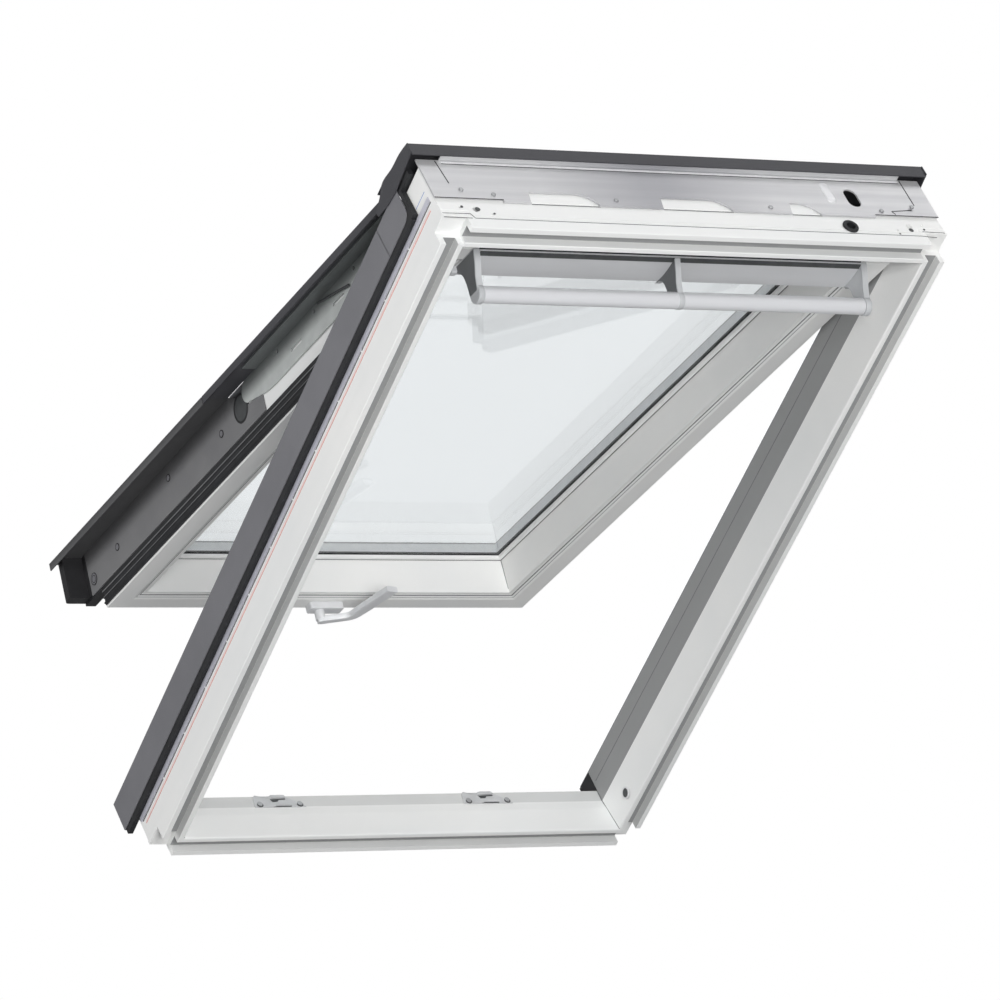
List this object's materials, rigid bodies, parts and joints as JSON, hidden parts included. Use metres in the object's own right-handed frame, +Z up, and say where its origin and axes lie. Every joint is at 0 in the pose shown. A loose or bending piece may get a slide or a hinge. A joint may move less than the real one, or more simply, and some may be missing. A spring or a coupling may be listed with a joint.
{
  "type": "top-hung roof window",
  "caption": "Top-hung roof window at roof pitch: white coated frame and sash, dark metal cladding, clear glass, lift arms with cleaning pivot, ventilation bar and bottom handle.",
  "frame": {"origin": "middle of the flat lower outer face of the sill, on the room-side lip", "axes": "+X to the right seen from the room, +Y out through the roof, +Z up; the frame lies at 45 degrees, its top leaning into the room at -Y"},
  "size_m": [0.8016, 1.1755, 0.9453],
  "materials": {
    "coated_white": "satin polyurethane coating",
    "cladding_grey": "satin lacquer",
    "galvanised_steel": "galvanised",
    "brushed_plate": "brushed",
    "bar_aluminium": "anodised",
    "screw_steel": "zinc plated",
    "rubber_black": "matt",
    "plastic_black": "matt",
    "plastic_grey": "satin",
    "bead_white": "matt",
    "spacer_black": "matt",
    "glass": "clear"
  },
  "bodies": {
    "frame": {"bolt_bushing": "plastic_grey", "cable_bushing": "plastic_black", "cladding_seal_left": "rubber_black", "cladding_seal_right": "rubber_black", "frame_bottom": "coated_white", "frame_cladding_left": "cladding_grey", "frame_cladding_right": "cladding_grey", "frame_left": "coated_white", "frame_right": "coated_white", "frame_top": "coated_white", "hinge_bracket_left": "galvanised_steel", "hinge_bracket_right": "galvanised_steel", "hinge_pins": "galvanised_steel", "hood": "cladding_grey", "hood_end_left": "cladding_grey", "hood_end_right": "cladding_grey", "lower_corner_left": "plastic_black", "lower_corner_right": "plastic_black", "plate_screws": "screw_steel", "side_strip_left": "galvanised_steel", "side_strip_right": "galvanised_steel", "sill_cladding": "cladding_grey", "striker_left": "galvanised_steel", "striker_right": "galvanised_steel", "striker_screws": "screw_steel", "top_plate": "brushed_plate", "top_rail": "bar_aluminium"},
    "lift_arms": {"arm_cover_left": "cladding_grey", "arm_cover_right": "cladding_grey", "arm_left": "galvanised_steel", "arm_right": "galvanised_steel"},
    "sash": {"cladding_screws": "screw_steel", "end_cap_left": "plastic_black", "end_cap_right": "plastic_black", "glass_inner": "glass", "glass_outer": "glass", "glass_spacer": "spacer_black", "glazing_bead": "bead_white", "handle_base": "plastic_grey", "pivot_cups": "plastic_black", "pivot_pins": "galvanised_steel", "sash_bottom": "coated_white", "sash_bottom_cladding": "cladding_grey", "sash_cladding_left": "cladding_grey", "sash_cladding_right": "cladding_grey", "sash_left": "coated_white", "sash_right": "coated_white", "sash_seal": "rubber_black", "sash_top": "coated_white", "sash_top_cladding": "cladding_grey", "sash_trim_left": "cladding_grey", "sash_trim_right": "cladding_grey", "vent_knuckles": "plastic_grey"},
    "handle": {"handle_lever": "plastic_grey"},
    "vent": {"bar_bracket_left": "plastic_grey", "bar_bracket_middle": "plastic_grey", "bar_bracket_right": "plastic_grey", "control_bar": "bar_aluminium", "vent_flap": "plastic_grey"}
  },
  "joints": [
    {"name": "top_hinge", "type": "hinge", "parent": "frame", "child": "lift_arms", "pos_m": [0, -0.70304, 0.86674], "axis": [1, 0, 0], "range_deg": [-19.75, 25.25]},
    {"name": "cleaning_pivot", "type": "hinge", "parent": "lift_arms", "child": "sash", "pos_m": [0, -0.20969, 0.63516], "axis": [1, 0, 0], "range_deg": [0, 140]},
    {"name": "handle_turn", "type": "hinge", "parent": "sash", "child": "handle", "pos_m": [-0.008, 0.21076, 0.32519], "axis": [0, -0.4266, -0.9045], "range_deg": [-25, 65]},
    {"name": "vent_bar", "type": "hinge", "parent": "sash", "child": "vent", "pos_m": [0, -0.70988, 0.77488], "axis": [1, 0, 0], "range_deg": [0, 30]}
  ]
}
